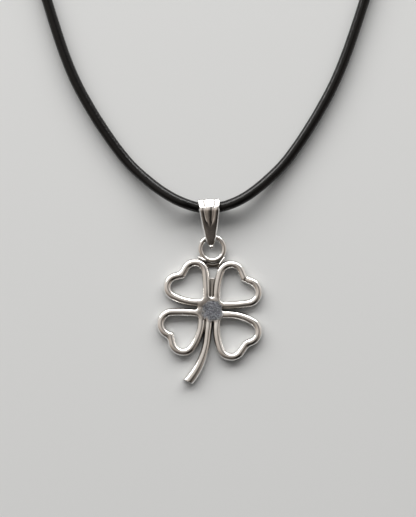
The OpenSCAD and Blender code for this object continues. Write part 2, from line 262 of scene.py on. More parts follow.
def silver_material(name, with_marks):
    """Polished silver with fine wear. with_marks reads the clover's own masks: how open a
    place is, and where the rough ground patch lies. Less open places are darkened, partly
    oxide in the hollows and partly painted shade. Otherwise the bail's rib lines are read,
    painted shade in the grooves between its ribs, which the clasp doesn't have."""
    material = bpy.data.materials.new(name)
    tree, nodes, links = nodes_of(material)
    out = nodes.new("ShaderNodeOutputMaterial")
    shader = nodes.new("ShaderNodeBsdfPrincipled")
    shader.inputs["Metallic"].default_value = 1.0
    links.new(shader.outputs[0], out.inputs[0])
    coord = nodes.new("ShaderNodeTexCoord").outputs["Object"]
    cloud = add_noise(nodes, links, coord, 420.0, 4.0)
    # fine wear in two directions
    hair = add_noise(nodes, links, coord, 900.0, 5.0, 0.65, (1.0, 0.22, 1.0))
    smear = add_noise(nodes, links, coord, 900.0, 5.0, 0.65, (0.25, 1.0, 1.0))
    worn = add_range(nodes, links, cloud, 0.35, 0.65, 0, 1)
    clean = add_mix(nodes, links, worn, SILVER_WORN, SILVER_BRIGHT)
    rough = add_range(nodes, links, cloud, 0.3, 0.7, 0.1, 0.2)
    bump = nodes.new("ShaderNodeBump")
    bump.inputs["Strength"].default_value = 0.06
    bump.inputs["Distance"].default_value = 0.00005
    links.new(add_math(nodes, links, "ADD", hair, smear), bump.inputs["Height"])
    normal = bump.outputs[0]
    if with_marks:
        openness = add_attribute(nodes, "open")
        patch = add_attribute(nodes, "patch")
        # less open places get oxide in the hollows and painted shade in gaps and near the floor
        tarnish_and_shade = add_range(nodes, links, openness, 0.15, 0.75, 1, 0)
        clean = add_mix(nodes, links, tarnish_and_shade, clean, TARNISH_AND_SHADE)
        coarse = add_noise(nodes, links, coord, 3600.0, 2.0, 0.5)
        coarse = add_range(nodes, links, coarse, 0.4, 0.62, 0, 1)
        fine = add_noise(nodes, links, coord, 6400.0, 2.0, 0.6)
        fine = add_range(nodes, links, fine, 0.38, 0.64, 0, 1)
        grain = add_math(nodes, links, "MULTIPLY", add_math(nodes, links, "ADD", coarse, fine), 0.5)
        ground = add_mix(nodes, links, grain, GROUND_DARK, GROUND_PALE)
        colour = add_mix(nodes, links, patch, clean, ground)
        rough = add_math(nodes, links, "ADD", rough, add_range(nodes, links, patch, 0, 1, 0, 0.3))
        pits = nodes.new("ShaderNodeBump")
        pits.inputs["Distance"].default_value = 0.00008
        links.new(add_range(nodes, links, patch, 0, 1, 0, 0.8), pits.inputs["Strength"])
        links.new(grain, pits.inputs["Height"])
        links.new(normal, pits.inputs["Normal"])
        normal = pits.outputs[0]
    else:
        # painted shade along the grooves between the bail's ribs
        colour = add_mix(nodes, links, add_attribute(nodes, "line"), clean, RIB_GROOVE_SHADE)
    links.new(colour, shader.inputs["Base Color"])
    links.new(rough, shader.inputs["Roughness"])
    links.new(normal, shader.inputs["Normal"])
    return material


def leather_material():
    """Black leather, semi-gloss, with a fine grain that runs along the cord."""
    material = bpy.data.materials.new("black_leather")
    tree, nodes, links = nodes_of(material)
    out = nodes.new("ShaderNodeOutputMaterial")
    shader = nodes.new("ShaderNodeBsdfPrincipled")
    links.new(shader.outputs[0], out.inputs[0])
    uv = nodes.new("ShaderNodeTexCoord").outputs["UV"]
    grain = add_noise(nodes, links, uv, 1.0, 5.0, 0.6, (2600.0, 1500.0, 1.0))
    cell = nodes.new("ShaderNodeTexVoronoi")
    cell.feature = "DISTANCE_TO_EDGE"
    stretch = nodes.new("ShaderNodeMapping")
    stretch.inputs["Scale"].default_value = (1500.0, 2600.0, 1.0)
    links.new(uv, stretch.inputs["Vector"])
    links.new(stretch.outputs[0], cell.inputs["Vector"])
    cell.inputs["Scale"].default_value = 1.0
    cloud = add_noise(nodes, links, uv, 1.0, 3.0, 0.5, (220.0, 400.0, 1.0))
    worn = add_range(nodes, links, grain, 0.3, 0.7, 0, 1)
    links.new(add_mix(nodes, links, worn, LEATHER_DARK, LEATHER_WORN), shader.inputs["Base Color"])
    links.new(add_range(nodes, links, cloud, 0.3, 0.7, 0.09, 0.15), shader.inputs["Roughness"])
    shader.inputs["Specular IOR Level"].default_value = 0.32
    creases = add_range(nodes, links, cell.outputs["Distance"], 0.0, 0.12, 0, 1)
    bump = nodes.new("ShaderNodeBump")
    bump.inputs["Strength"].default_value = 0.3
    bump.inputs["Distance"].default_value = 0.00003
    links.new(add_math(nodes, links, "ADD", creases, grain), bump.inputs["Height"])
    links.new(bump.outputs[0], shader.inputs["Normal"])
    return material


# Mesh helpers


def make_object(name, points_mm, faces, material):
    mesh = bpy.data.meshes.new(name)
    points = (np.asarray(points_mm, float) * MM).tolist()
    mesh.from_pydata(points, [], [tuple(int(i) for i in f) for f in faces])
    mesh.update()
    mesh.materials.append(material)
    mesh.polygons.foreach_set("use_smooth", [True] * len(mesh.polygons))
    obj = bpy.data.objects.new(name, mesh)
    bpy.context.scene.collection.objects.link(obj)
    return obj


def ring_faces(rings, count):
    """Faces between each ring of count points and the next one."""
    faces = []
    for first in range(0, (rings - 1) * count, count):
        for i in range(count):
            j = (i + 1) % count
            faces.append((first + i, first + count + i, first + count + j, first + j))
    return faces


def set_mask(obj, name, values):
    """Stores one value per point for a material to read."""
    mask = obj.data.attributes.new(name, "FLOAT", "POINT")
    mask.data.foreach_set("value", np.asarray(values).astype(np.float32))


def ease(t):
    """0 below 0, 1 above 1 and a smooth step between."""
    t = np.clip(t, 0, 1)
    return t * t * (3 - 2 * t)


def unit(a):
    """Plane vector of length 1 at angle a, in radians."""
    return np.array((math.cos(a), math.sin(a)))


# odd numbers with well mixed bits, which make the lattice's values look random
HASH_A, HASH_B = np.uint64(0x9E3779B97F4A7C15), np.uint64(0xBF58476D1CE4E5B9)


def value_noise(p, scale, seed):
    """Smooth noise from -1 to 1 on a fixed lattice of the given size."""
    q = np.asarray(p, float) / scale
    base = np.floor(q).astype(np.int64)
    part = ease(q - base)
    total = np.zeros(len(q))
    for corner in np.ndindex(*(2,) * q.shape[1]):
        c = base + np.array(corner)
        h = np.full(len(q), seed, np.uint64)
        for axis in range(q.shape[1]):
            h = (h ^ (c[:, axis].astype(np.uint64) * HASH_A)) * HASH_B
            h ^= h >> np.uint64(29)
        value = (h >> np.uint64(40)).astype(float) / 2**24 * 2 - 1
        weight = np.ones(len(q))
        for axis, k in enumerate(corner):
            weight = weight * (part[:, axis] if k else 1 - part[:, axis])
        total += value * weight
    return total


# The clover's field

LEAF = 10.0
WIRE_R, WIRE_H = 0.77, 1.4
HUB_H, HUB_REACH, WEB_H = 1.25, 0.75, 0.5
RING_R, RING_WIRE, RING_Y, RING_TOP_Z, RING_TILT = 2.28, 0.5, 12.16, 0.92, 4.5
SADDLE_R, SADDLE_W, SADDLE_H, SADDLE_AT = 3.1, 0.4, 0.9, np.array((0.1, 12.22))
SADDLE_ARC = (238, 300)          # degrees
BAR_X, BAR_HALF, BAR_DROP, BAR_H = -0.1, (2.0, 0.3), 0.25, 0.315
# strands of solder that run up the saddle's sides to the ring
WINGS = (((-2.6, 10.47), (-1.4, 9.86)), ((2.26, 10.32), (1.42, 9.24)))
WING_R, WING_H = 0.18, 1.16
# tip, notch, first lobe and second lobe as [x, y, radius, flank radius], shares of LEAF
LEAVES = {
    "upper_left": ((-0.121, 0.192), (-0.582, 0.716),
                   (-0.334, 0.753, 0.198, 3.3), (-0.664, 0.488, 0.204, 1.06)),
    "upper_right": ((0.096, 0.138), (0.614, 0.647),
                    (0.670, 0.384, 0.219, 2.7), (0.363, 0.707, 0.209, 1.44)),
    "lower_left": ((-0.211, -0.025), (-0.806, -0.451),
                   (-0.768, -0.225, 0.225, 4.0), (-0.563, -0.553, 0.215, 0.92)),
    "lower_right": ((0.108, -0.061), (0.662, -0.601),
                    (0.368, -0.64, 0.222, 1.26), (0.666, -0.371, 0.221, 0.98)),
}
# how far each notch's bend reaches back along its wires, and how sharp its outside is
NOTCHES = {"upper_left": (0.2, 0.15), "lower_left": (0.22, 0.3), "lower_right": (0.28, 0.6)}
STEM_START, STEM_LEAN = np.array((-0.5, -0.6)), 6.0
STEM_STRAIGHT, STEM_BEND_R, STEM_BEND_L = 4.4, 15.0, 9.4
STEM_W, STEM_END_W, STEM_SKEW = 1.4, 2.1, -14.0
PATCH_AT, PATCH_R, PATCH_SINK = np.array((0.04, 0.19)), 2.02, 0.03
LAP = 1.6                        # where one lobe's wire lies over the end of the other
# widths of the fillets where the parts run together
BLEND_WIRE, BLEND_STEM, BLEND_HUB, BLEND_WEB = 0.3, 0.25, 0.6, 0.18
BLEND_SADDLE, BLEND_BAR, BLEND_WINGS, BLEND_RING = 0.28, 0.15, 0.15, 0.16
FAR = 3.0                        # distances beyond this one stay rough


def turn_from(a0, a1, way):
    """a1 as an angle that is reached from a0 going round in the given way."""
    span = (a1 - a0) % (2 * math.pi)
    return a0 + span if way > 0 else a0 + span - (2 * math.pi if span > 0 else 0)


def half_leaf(leaf, index, way):
    """Middle line of half a leaf: from its tip along the flank and round the lobe to the notch."""
    tip, notch = np.array(leaf[0]) * LEAF, np.array(leaf[1]) * LEAF
    c, r, fr = np.array(leaf[index][:2]) * LEAF, leaf[index][2] * LEAF, leaf[index][3] * LEAF
    span = c - tip
    d = np.hypot(*span)
    along = (fr**2 - (fr - r) ** 2 + d * d) / (2 * d)
    normal = np.array((-span[1], span[0]))
    centre = tip + (along * span + way * math.sqrt(fr**2 - along**2) * normal) / d
    a0 = math.atan2(*(tip - centre)[::-1])
    a1 = turn_from(a0, math.atan2(*(c - centre)[::-1]), way)
    flank = [centre + fr * unit(a) for a in np.linspace(a0, a1, 25)]
    to_notch = notch - c
    b0 = math.atan2(*(flank[-1] - c)[::-1])
    touch = way * math.acos(r / np.hypot(*to_notch))
    b1 = turn_from(b0, math.atan2(*to_notch[::-1]) - touch, way)
    lobe = [c + r * unit(a) for a in np.linspace(b0, b1, 49)[1:]]
    return np.array(flank + lobe + [notch])


def cut_back(line, length):
    """The line without its last stretch of the given length."""
    line = np.array(line)
    while True:
        last = np.hypot(*(line[-1] - line[-2]))
        if last > length:
            line[-1] += (line[-2] - line[-1]) * length / last
            return line
        length -= last
        line = line[:-1]


def line_distance(p, line):
    """Distance of points p to an open line, and how far along the line the nearest place is.
    Far from the line both are only rough."""
    best = np.full(len(p), FAR)
    place = np.zeros(len(p))
    near = np.all((p > line.min(0) - 0.8 * FAR) & (p < line.max(0) + 0.8 * FAR), axis=1)
    q = p[near]
    found, spot = np.full(len(q), FAR), np.zeros(len(q))
    run = 0.0
    for a, b in zip(line[:-1], line[1:]):
        ab = b - a
        length = np.hypot(*ab)
        t = np.clip(((q[:, 0] - a[0]) * ab[0] + (q[:, 1] - a[1]) * ab[1]) / length**2, 0, 1)
        d = np.hypot(q[:, 0] - a[0] - t * ab[0], q[:, 1] - a[1] - t * ab[1])
        closer = d < found
        found = np.where(closer, d, found)
        spot = np.where(closer, run + t * length, spot)
        run += length
    best[near], place[near] = found, spot
    return best, place


def cross2(a, b):
    """Cross product of plane vectors."""
    return a[..., 0] * b[..., 1] - a[..., 1] * b[..., 0]


class Leaf:
    """A heart bent from one wire. Its notch turns on a small bend, whose outer side in the
    turn is drawn out to a mitred point, as the cast hearts have it."""

    def __init__(self, leaf, bend, point):
        a, b = half_leaf(leaf, 2, 1), half_leaf(leaf, 3, -1)
        self.a, self.b, self.point = cut_back(a, bend), cut_back(b, bend), point
        self.ta = (self.a[-1] - self.a[-2]) / np.hypot(*(self.a[-1] - self.a[-2]))
        self.tb = (self.b[-1] - self.b[-2]) / np.hypot(*(self.b[-1] - self.b[-2]))
        gap = self.b[-1] - self.a[-1]
        corner = self.a[-1] + self.ta * cross2(gap, self.tb) / cross2(self.ta, self.tb)
        t = np.linspace(0, 1, 13)[:, None]
        self.bend = self.a[-1] * (1 - t) ** 2 + 2 * corner * t * (1 - t) + self.b[-1] * t**2
        self.out = (corner - self.bend[6]) / np.hypot(*(corner - self.bend[6]))
        self.way = -np.sign(cross2(self.ta, -self.tb))

    def distance(self, p):
        da, db = line_distance(p, self.a)[0], line_distance(p, self.b)[0]
        dc = line_distance(p, self.bend)[0]
        outside = (p - self.bend[6]) @ self.out > 0
        sa = self.way * cross2(self.ta[None], p - self.a[-1])
        sb = self.way * cross2(-self.tb[None], p - self.b[-1])
        mitre = np.maximum(blend_max(sa, sb, np.maximum(self.point * dc, 1e-6)), 0)
        drawn = dc + (mitre - dc) * ease((dc - 0.02) / 0.3)
        in_turn = (dc < np.minimum(da, db) - 1e-9) & outside
        at_notch = outside & (np.hypot(*(p - self.bend[6]).T) < 2.5)
        d = np.where(at_notch, np.minimum(da, db), np.maximum(blend_min(da, db, 0.45), 0))
        return np.where(in_turn, drawn, np.minimum(d, dc))


def hull_distance(p, corners):
    """Signed distance to a convex outline given anticlockwise."""
    best = np.full(len(p), 1e9)
    inside = np.ones(len(p), bool)
    for a, b in zip(corners, np.roll(corners, -1, 0)):
        ab = b - a
        t = np.clip(((p - a) @ ab) / (ab @ ab), 0, 1)
        q = p - a - t[:, None] * ab
        best = np.minimum(best, np.hypot(q[:, 0], q[:, 1]))
        inside &= ab[0] * (p[:, 1] - a[1]) - ab[1] * (p[:, 0] - a[0]) >= 0
    return np.where(inside, -best, best)


def blend_min(a, b, k):
    """The lesser of a and b, with a fillet about k wide where they come close."""
    h = np.clip(0.5 + 0.5 * (b - a) / k, 0, 1)
    return b + (a - b) * h - k * h * (1 - h)


def blend_max(a, b, k):
    """The greater of a and b, with the same fillet."""
    return -blend_min(-a, -b, k)


def convex_order(points):
    """The points in anticlockwise order round their middle."""
    points = np.array(points)
    middle = points.mean(0)
    return points[np.argsort(np.arctan2(points[:, 1] - middle[1], points[:, 0] - middle[0]))]


class CloverField:
    """Distance-like field of the whole clover: negative inside. plan() holds what depends
    on x and y alone, so that a grid needs it once per column."""

    def __init__(self):
        self.leaves = [Leaf(LEAVES[name], bend, point) for name, (bend, point) in NOTCHES.items()]
        self.crossed = [half_leaf(LEAVES["upper_right"], 2, 1), half_leaf(LEAVES["upper_right"], 3, -1)]
        heading = math.radians(-90 - STEM_LEAN)
        bend_at = STEM_START + STEM_STRAIGHT * unit(heading)
        centre = bend_at + STEM_BEND_R * unit(heading - math.pi / 2)
        angles = heading + math.pi / 2 - np.linspace(0, STEM_BEND_L / STEM_BEND_R, 25)
        bend = [centre + STEM_BEND_R * unit(a) for a in angles]
        self.stem = np.array([STEM_START] + bend)
        cut = angles[-1] - math.radians(90 + STEM_SKEW)
        self.cut_at, self.cut_out = bend[-1], unit(cut)
        # a little further, so that the cut and not the line's end shapes the stem's end
        step = self.stem[-1] - self.stem[-2]
        self.stem = np.vstack([self.stem, self.stem[-1] + 1.5 * step / np.hypot(*step)])
        tips = [np.array(leaf[0]) * LEAF for leaf in LEAVES.values()]
        between = [(0.15, -0.95), (-0.55, -0.72), (-2.05, 0.75), (-0.15, 1.95)]
        self.hub = convex_order(tips + between)
        left, right = half_leaf(LEAVES["upper_left"], 2, 1), half_leaf(LEAVES["upper_right"], 3, -1)
        self.web = convex_order([left[0], right[0], right[19], left[19]])

    def plan(self, p):
        out = {}
        for k, leaf in enumerate(self.leaves):
            out[f"leaf{k}"] = leaf.distance(p)
        ends = [line[-1] - line[-2] for line in self.crossed]
        ends = [e / np.hypot(*e) for e in ends]
        split = (ends[0] - ends[1]) / np.hypot(*(ends[0] - ends[1]))
        out["side"] = (p - self.crossed[0][-1]) @ split
        # the crossed leaf's two wires run on a little past its notch, each on its own side
        for k, line in enumerate(self.crossed):
            d, place = line_distance(p, line)
            own_side = out["side"] < 0 if k == 0 else out["side"] > 0
            further, _ = line_distance(p, np.vstack([line[-2:], line[-1] + 1.4 * ends[k]]))
            out[f"half{k}"] = np.where(own_side, np.minimum(d, further), d)
            out[f"left{k}"] = np.hypot(*np.diff(line, axis=0).T).sum() - place
        out["stem"], out["along"] = line_distance(p, self.stem)
        out["cut"] = (p - self.cut_at) @ self.cut_out
        out["hub"] = hull_distance(p, self.hub)
        out["web"] = hull_distance(p, self.web)
        out["patch"] = np.hypot(*(p - PATCH_AT).T)
        spoke = p - SADDLE_AT
        angle = np.degrees(np.arctan2(spoke[:, 1], spoke[:, 0])) % 360
        beyond = [np.hypot(*(spoke - SADDLE_R * unit(math.radians(a))).T) for a in SADDLE_ARC]
        on_arc = (angle > SADDLE_ARC[0]) & (angle < SADDLE_ARC[1])
        out["saddle"] = np.where(on_arc, np.abs(np.hypot(*spoke.T) - SADDLE_R), np.minimum(*beyond))
        out["wings"] = np.minimum(*[line_distance(p, np.array(line))[0] for line in WINGS])
        bar_at = np.array((BAR_X, SADDLE_AT[1] - SADDLE_R - BAR_DROP))
        out["bar"] = np.max(np.abs(p - bar_at) - BAR_HALF, axis=1)
        out["ring"] = np.hypot(p[:, 0], p[:, 1] - RING_Y) - RING_R
        out["ring_z"] = RING_TOP_Z + (p[:, 1] - RING_Y - RING_R) * math.sin(math.radians(RING_TILT))
        # the wires thin a little towards the middle and are slightly uneven all along
        near = 1 - ease((out["patch"] - 1.5) / 4.0)
        wobble = 0.018 * value_noise(p, 2.6, 11) + 0.010 * value_noise(p, 1.1, 12)
        out["girth"] = 1 - 0.06 * near + wobble
        out["sunk"] = (WIRE_H - HUB_H) * (1 - ease((out["patch"] - 1.7) / 1.9))
        out["grit"] = value_noise(p, 0.16, 5) * 0.6 + value_noise(p, 0.33, 6) * 0.6
        return out

    def solid(self, plan, z):
        """Field at heights z. plan's arrays and z have shapes that broadcast together."""
        def col(a):
            return a[:, None] if np.ndim(z) == 2 else a

        girth = col(plan["girth"])
        top = WIRE_H - col(plan["sunk"])

        def wire(d, r, h):
            return np.sqrt(d**2 + (z - (h - r)) ** 2) - r

        total = None
        for k in range(len(self.leaves)):
            f = wire(col(plan[f"leaf{k}"]), WIRE_R * girth, top)
            total = f if total is None else blend_min(total, f, BLEND_WIRE)
        # the upper lobe's wire lies over the end of the other one
        under = col(1 - ease(plan["left0"] / LAP))
        f = wire(col(plan["half0"]), WIRE_R * girth * (1 - 0.05 * under), top - 0.15 * under)
        total = blend_min(total, np.maximum(f, col(plan["side"])), BLEND_WIRE)
        over = col(1 - ease(plan["left1"] / LAP))
        f = wire(col(plan["half1"]), WIRE_R * girth, top + 0.04 * over)
        crisp = col(0.06 + 0.24 * ease((plan["left1"] - 2) / 2))
        total = blend_min(total, np.maximum(f, col(-plan["side"]) - 0.1), crisp)
        place = plan["along"]
        r = STEM_W + (STEM_END_W - STEM_W) * ease((place - STEM_STRAIGHT) / STEM_BEND_L)
        r = col(r / 2) * (1 + 0.3 * (girth - 1))
        stem = blend_max(wire(col(plan["stem"]), r, top), col(plan["cut"]), 0.22)
        total = blend_min(total, stem, BLEND_STEM)
        hub = blend_max(col(plan["hub"]) - HUB_REACH, z - HUB_H, 0.3)
        total = blend_min(total, hub, BLEND_HUB)
        web = np.maximum(col(plan["web"]), z - WEB_H)
        total = blend_min(total, web, BLEND_WEB)
        saddle = blend_max(col(plan["saddle"] - SADDLE_W / 2), z - SADDLE_H / 2, 0.2)
        bar = blend_max(col(plan["bar"]), z - BAR_H, 0.15)
        total = blend_min(total, blend_min(saddle, bar, BLEND_BAR), BLEND_SADDLE)
        total = blend_min(total, wire(col(plan["wings"]), WING_R, WING_H), BLEND_WINGS)
        ring = np.sqrt(col(plan["ring"]) ** 2 + (z - col(plan["ring_z"])) ** 2) - RING_WIRE
        total = blend_min(total, ring, BLEND_RING)
        # the patch in the middle is ground flat and left rough
        ground = HUB_H - PATCH_SINK + 0.13 * np.maximum(col(plan["patch"]) - PATCH_R + 0.15, 0)
        grit = 0.011 * col(plan["grit"] * (1 - ease((plan["patch"] - PATCH_R + 0.2) / 0.35)))
        total = blend_max(total, z - ground - grit, 0.2)
        return blend_max(total, -z, 0.1)

    def lay_out(self, lo, hi, step):
        """Works the plan out once on a fine sheet, for at() to look up."""
        axes = [np.arange(a, b, step) for a, b in zip(lo, hi)]
        sheet = np.stack(np.meshgrid(*axes, indexing="ij"), -1).reshape(-1, 2)
        self.sheet = {k: a.reshape(len(axes[0]), len(axes[1])) for k, a in self.plan(sheet).items()}
        self.sheet_lo, self.sheet_step = np.array(lo), step

    def look_up(self, p):
        """The plan at points p, read between the sheet's places."""
        q = (p[:, :2] - self.sheet_lo) / self.sheet_step
        i = np.clip(np.floor(q).astype(int), 0, np.array(self.sheet["ring"].shape) - 2)
        u, v = (q - i).T
        i, j = i.T

        def between(a):
            near = a[i, j] * (1 - u) + a[i + 1, j] * u
            far = a[i, j + 1] * (1 - u) + a[i + 1, j + 1] * u
            return near * (1 - v) + far * v

        return {k: between(a) for k, a in self.sheet.items()}

    def at(self, p):
        """The field at points p."""
        return self.solid(self.look_up(p), p[:, 2])

    def slope(self, p, step=0.03):
        """How steeply the field rises along each axis."""
        g = np.zeros_like(p)
        for axis in range(3):
            e = np.zeros(3)
            e[axis] = step
            g[:, axis] = (self.at(p + e) - self.at(p - e)) / (2 * step)
        return g


def net_surface(values, origin, step):
    """Surface net of a sampled field: one point per cell that the surface crosses, one quad
    per crossed grid edge."""
    inside = values < 0
    corners = [(i, j, k) for i in (0, 1) for j in (0, 1) for k in (0, 1)]
    shape = tuple(s - 1 for s in values.shape)

    def at_corner(a, c):
        return a[c[0]:c[0] + shape[0], c[1]:c[1] + shape[1], c[2]:c[2] + shape[2]]

    count = sum(at_corner(inside, c).astype(np.int8) for c in corners)
    cells = np.argwhere((count > 0) & (count < 8))
    index = np.full(shape, -1, np.int64)
    index[tuple(cells.T)] = np.arange(len(cells))
    total = np.zeros((len(cells), 3))
    hits = np.zeros(len(cells))
    for a in corners:
        for axis in range(3):
            if a[axis]:
                continue
            b = list(a)
            b[axis] = 1
            va = values[tuple((cells + a).T)]
            vb = values[tuple((cells + b).T)]
            crossed = (va < 0) != (vb < 0)
            t = np.where(crossed, va / np.where(crossed, va - vb, 1), 0)
            point = np.array(a, float) + t[:, None] * (np.array(b) - np.array(a))
            total += np.where(crossed[:, None], point, 0)
            hits += crossed
    points = origin + (cells + total / hits[:, None]) * step
    quads = []
    for axis in range(3):
        u, v = [(1, 2), (2, 0), (0, 1)][axis]
        lo = [slice(1, -1)] * 3
        hi = [slice(1, -1)] * 3
        lo[axis], hi[axis] = slice(0, -1), slice(1, None)
        a, b = inside[tuple(lo)], inside[tuple(hi)]
        for state in (True, False):
            found = np.argwhere((a == state) & (b != state))
            place = found + 1
            place[:, axis] -= 1
            ring = []
            for du, dv in ((-1, -1), (0, -1), (0, 0), (-1, 0)):
                q = place.copy()
                q[:, u] += du
                q[:, v] += dv
                ring.append(index[tuple(q.T)])
            ring = np.stack(ring, 1)
            quads.append(ring if state else ring[:, ::-1])
    return points, np.vstack(quads)


CLOVER_LO, CLOVER_HI = np.array((-11.1, -14.5, -0.3)), np.array((10.2, 15.4, 1.8))
GRID, QUICK_GRID = 0.092, 0.16


def clover_masks(field, points):
    """How open each point's place is, from 0 to 1, which sets the silver's oxide and painted
    shade, and how far it lies on the ground patch.
    """
    plan = field.look_up(points)
    z = points[:, 2]
    g = field.slope(points)
    g /= np.maximum(np.sqrt((g**2).sum(1)), 1e-6)[:, None]
    openness = np.ones(len(points))
    for reach in (0.25, 0.55, 0.9):
        openness = np.minimum(openness, field.at(points + g * reach) / reach)
    # places near the floor count as less open: painted shade low on the wires
    low = ease((z - 0.2) / 0.4)
    # the low web between the upper leaves gets a fixed share of the oxide and painted shade
    on_web = 1 - ease((plan["web"] - 0.1) / 0.2)
    on_web = on_web * (1 - ease((z - WEB_H - 0.05) / 0.2)) * ease((z - WEB_H + 0.12) / 0.08)
    openness = np.clip(openness, 0, 1) * low * (1 - on_web) + 0.42 * on_web
    # the solder strands beside the ring are kept clear of the painted shade
    on_wings = (1 - ease((plan["wings"] - WING_R - 0.02) / 0.1)) * ease((z - 0.5) / 0.2)
    openness = np.maximum(openness, 0.75 * on_wings)
    # the patch's outline is a little ragged
    ragged = 0.26 * value_noise(points[:, :2], 0.5, 21) + 0.2 * value_noise(points[:, :2], 0.2, 22)
    patch = np.hypot(*(points[:, :2] - PATCH_AT).T) + ragged
    patch = (1 - ease((patch - PATCH_R + 0.35) / 0.6)) * ease((z - HUB_H + 0.16) / 0.08)
    return {"open": openness, "patch": patch}


def make_clover(material):
    field = CloverField()
    step = GRID
    axes = [np.arange(a, b, step) for a, b in zip(CLOVER_LO, CLOVER_HI)]
    field.lay_out(CLOVER_LO[:2], CLOVER_HI[:2], step / 2)
    # every second place of the sheet is one of the grid's columns
    columns = {k: a[::2, ::2][:len(axes[0]), :len(axes[1])].ravel() for k, a in field.sheet.items()}
    values = field.solid(columns, axes[2][None, :]).reshape([len(a) for a in axes])
    points, quads = net_surface(values, CLOVER_LO, step)
    # a few steps along the slope bring the points onto the true surface
    for _ in range(3):
        g = field.slope(points)
        move = field.at(points)[:, None] * g / np.maximum((g**2).sum(1), 0.05)[:, None]
        points -= np.clip(move, -0.4 * step, 0.4 * step)
    points[:, 2] = np.maximum(points[:, 2], 0.0)
    clover = make_object("clover_body", points, quads, material)
    for name, values in clover_masks(field, points).items():
        set_mask(clover, name, values)
    return clover


# The bail

BAIL_W, BAIL_L, BAIL_T, BAIL_TIP, BAIL_CROWN = 4.4, 9.4, 0.32, 1.2, 0.14
BAIL_SHIFT, BAIL_TURN = -0.32, 2.6
EYE_R, NOSE_R = 1.12, 0.6
RING_TOP = 14.44
NOSE = np.array((-(RING_R - math.sqrt(RING_R**2 - (BAIL_W / 4) ** 2)), RING_TOP_Z))
TIP_V = NOSE[0] - NOSE_R - BAIL_TIP
FOLD_V = BAIL_L + TIP_V
EYE = np.array((FOLD_V - BAIL_CROWN - BAIL_T - EYE_R, BAIL_T + EYE_R))
# where the two grooves start across the fold, and where along the bail they meet
GROOVE_SHARE, GROOVE_MEET = 0.46, 0.61
RIM_BEVEL, TIP_BEVEL = 0.22, 0.13
COLUMNS, WALL_ROWS, FLOOR_COLUMNS = 117, 7, 5
# The outside of the fold: degrees round the eye, then the place from the eye's middle
# along the bail, and the height.
FOLD_CURVE = np.array((
    (0, 1.44, 1.44), (20, 1.44, 1.98), (36, 1.41, 2.36), (46, 1.3, 2.55), (57, 1.03, 2.72),
    (68, 0.68, 2.9), (79, 0.32, 3.06), (88, -0.02, 3.19), (92, -0.17, 3.235), (95, -0.29, 3.258),
    (98, -0.41, 3.266), (99.9, -0.49, 3.266)))
# The outside round the nose: degrees round it, then the place along the bail and the height
NOSE_CURVE = np.array((
    (101, -0.42, 1.83), (112, -0.75, 1.76), (124, -1.1, 1.68), (136, -1.42, 1.59),
    (142, -1.54, 1.54), (147, -1.6, 1.49), (153, -1.7, 1.37), (159, -1.8, 1.245),
    (165, -1.9, 1.115), (171, -1.97, 0.99), (176, -1.99, 0.84), (181, -1.97, 0.7),
    (186, -1.95, 0.56), (191, -1.99, 0.47), (198, -2.12, 0.42), (206, -2.24, 0.33),
    (214, -2.27, 0.2), (222, -2.22, 0.05), (234, -1.9, 0), (250, -1.2, 0), (262, -0.6, 0),
    (270, -0.283, 0)))


def round_end(v, start, reach, deepest):
    """Width of a rounded end, as a share: 1 up to start, then down over reach."""
    return np.sqrt(1 - np.clip((start - v) / reach, 0, deepest) ** 2)


def share_along(v):
    """0 at the fold and 1 at the tip."""
    return min(max((FOLD_V - v) / BAIL_L, 0), 1)


def groove_at(t):
    """Place of the groove's middle at share t along, as a share of the half width."""
    return GROOVE_SHARE * (1 - min(t / GROOVE_MEET, 1) ** 3.6)


def half_width(v, shown):
    """Half the sheet's width at v. The front leaf ends in a rounded tip, and under it the
    back leaf, where shown is 0, in a broader one."""
    t = np.clip((FOLD_V - v) / BAIL_L, 0, 0.9985)
    front = BAIL_W * (1 - t**1.15) ** 0.55 + 0.17 * ease((1.1 - v) / 1.3)
    rounded = 1.1 * round_end(v, -1.55, 0.46, 0.9) + np.maximum(v + 1.55, 0) * 9
    front = np.minimum(front, rounded)
    back = np.maximum(front, 0.84 * round_end(v, -1.85, 0.45, 0.97))
    return (0.93 + 0.07 * shown) * (back + (front - back) * shown) / 2


def bail_stations():
    """Places round the bail's loop: inside point, outside point, share of the relief."""
    span = EYE - NOSE
    face = math.atan2(span[1], span[0]) + math.acos((NOSE_R - EYE_R) / np.hypot(*span))
    outward = unit(face)
    stations = []
    turn, along, up = FOLD_CURVE.T
    for a in np.linspace(-90, math.degrees(face), 64):
        out = EYE + (EYE_R + BAIL_T) * unit(math.radians(a))
        if a > 0:
            out = np.array((EYE[0] + hermite(a, turn, along), hermite(a, turn, up)))
        stations.append((EYE + EYE_R * unit(math.radians(a)), out, float(ease((a + 100) / 160))))
    for t in np.linspace(0, 1, 56)[1:-1]:
        inside = EYE + EYE_R * outward + (NOSE + NOSE_R * outward - EYE - EYE_R * outward) * t
        skin = BAIL_T + 0.42 * (1 - t) ** 1.4 + 0.07 * t / 0.1 * math.exp(1 - t / 0.1)
        ahead = (NOSE - EYE) / np.hypot(*span) * 0.18 * (1 - t) ** 20
        stations.append((inside, inside + skin * outward + ahead, 1.0))
    turn, along, up = NOSE_CURVE.T
    for a in np.linspace(math.degrees(face), 270, 90):
        shown = float(1 - ease((a - 170) / 16))
        out = np.array((hermite(a, turn, along), max(hermite(a, turn, up), 0.0)))
        stations.append((NOSE + NOSE_R * unit(math.radians(a)), out, shown))
    for t in np.linspace(0, 1, 26)[1:-1]:
        inside = NOSE - (0, NOSE_R) + (EYE - (0, EYE_R) - NOSE + (0, NOSE_R)) * t
        stations.append((inside, np.array((inside[0], 0.0)), 0.0))
    return stations


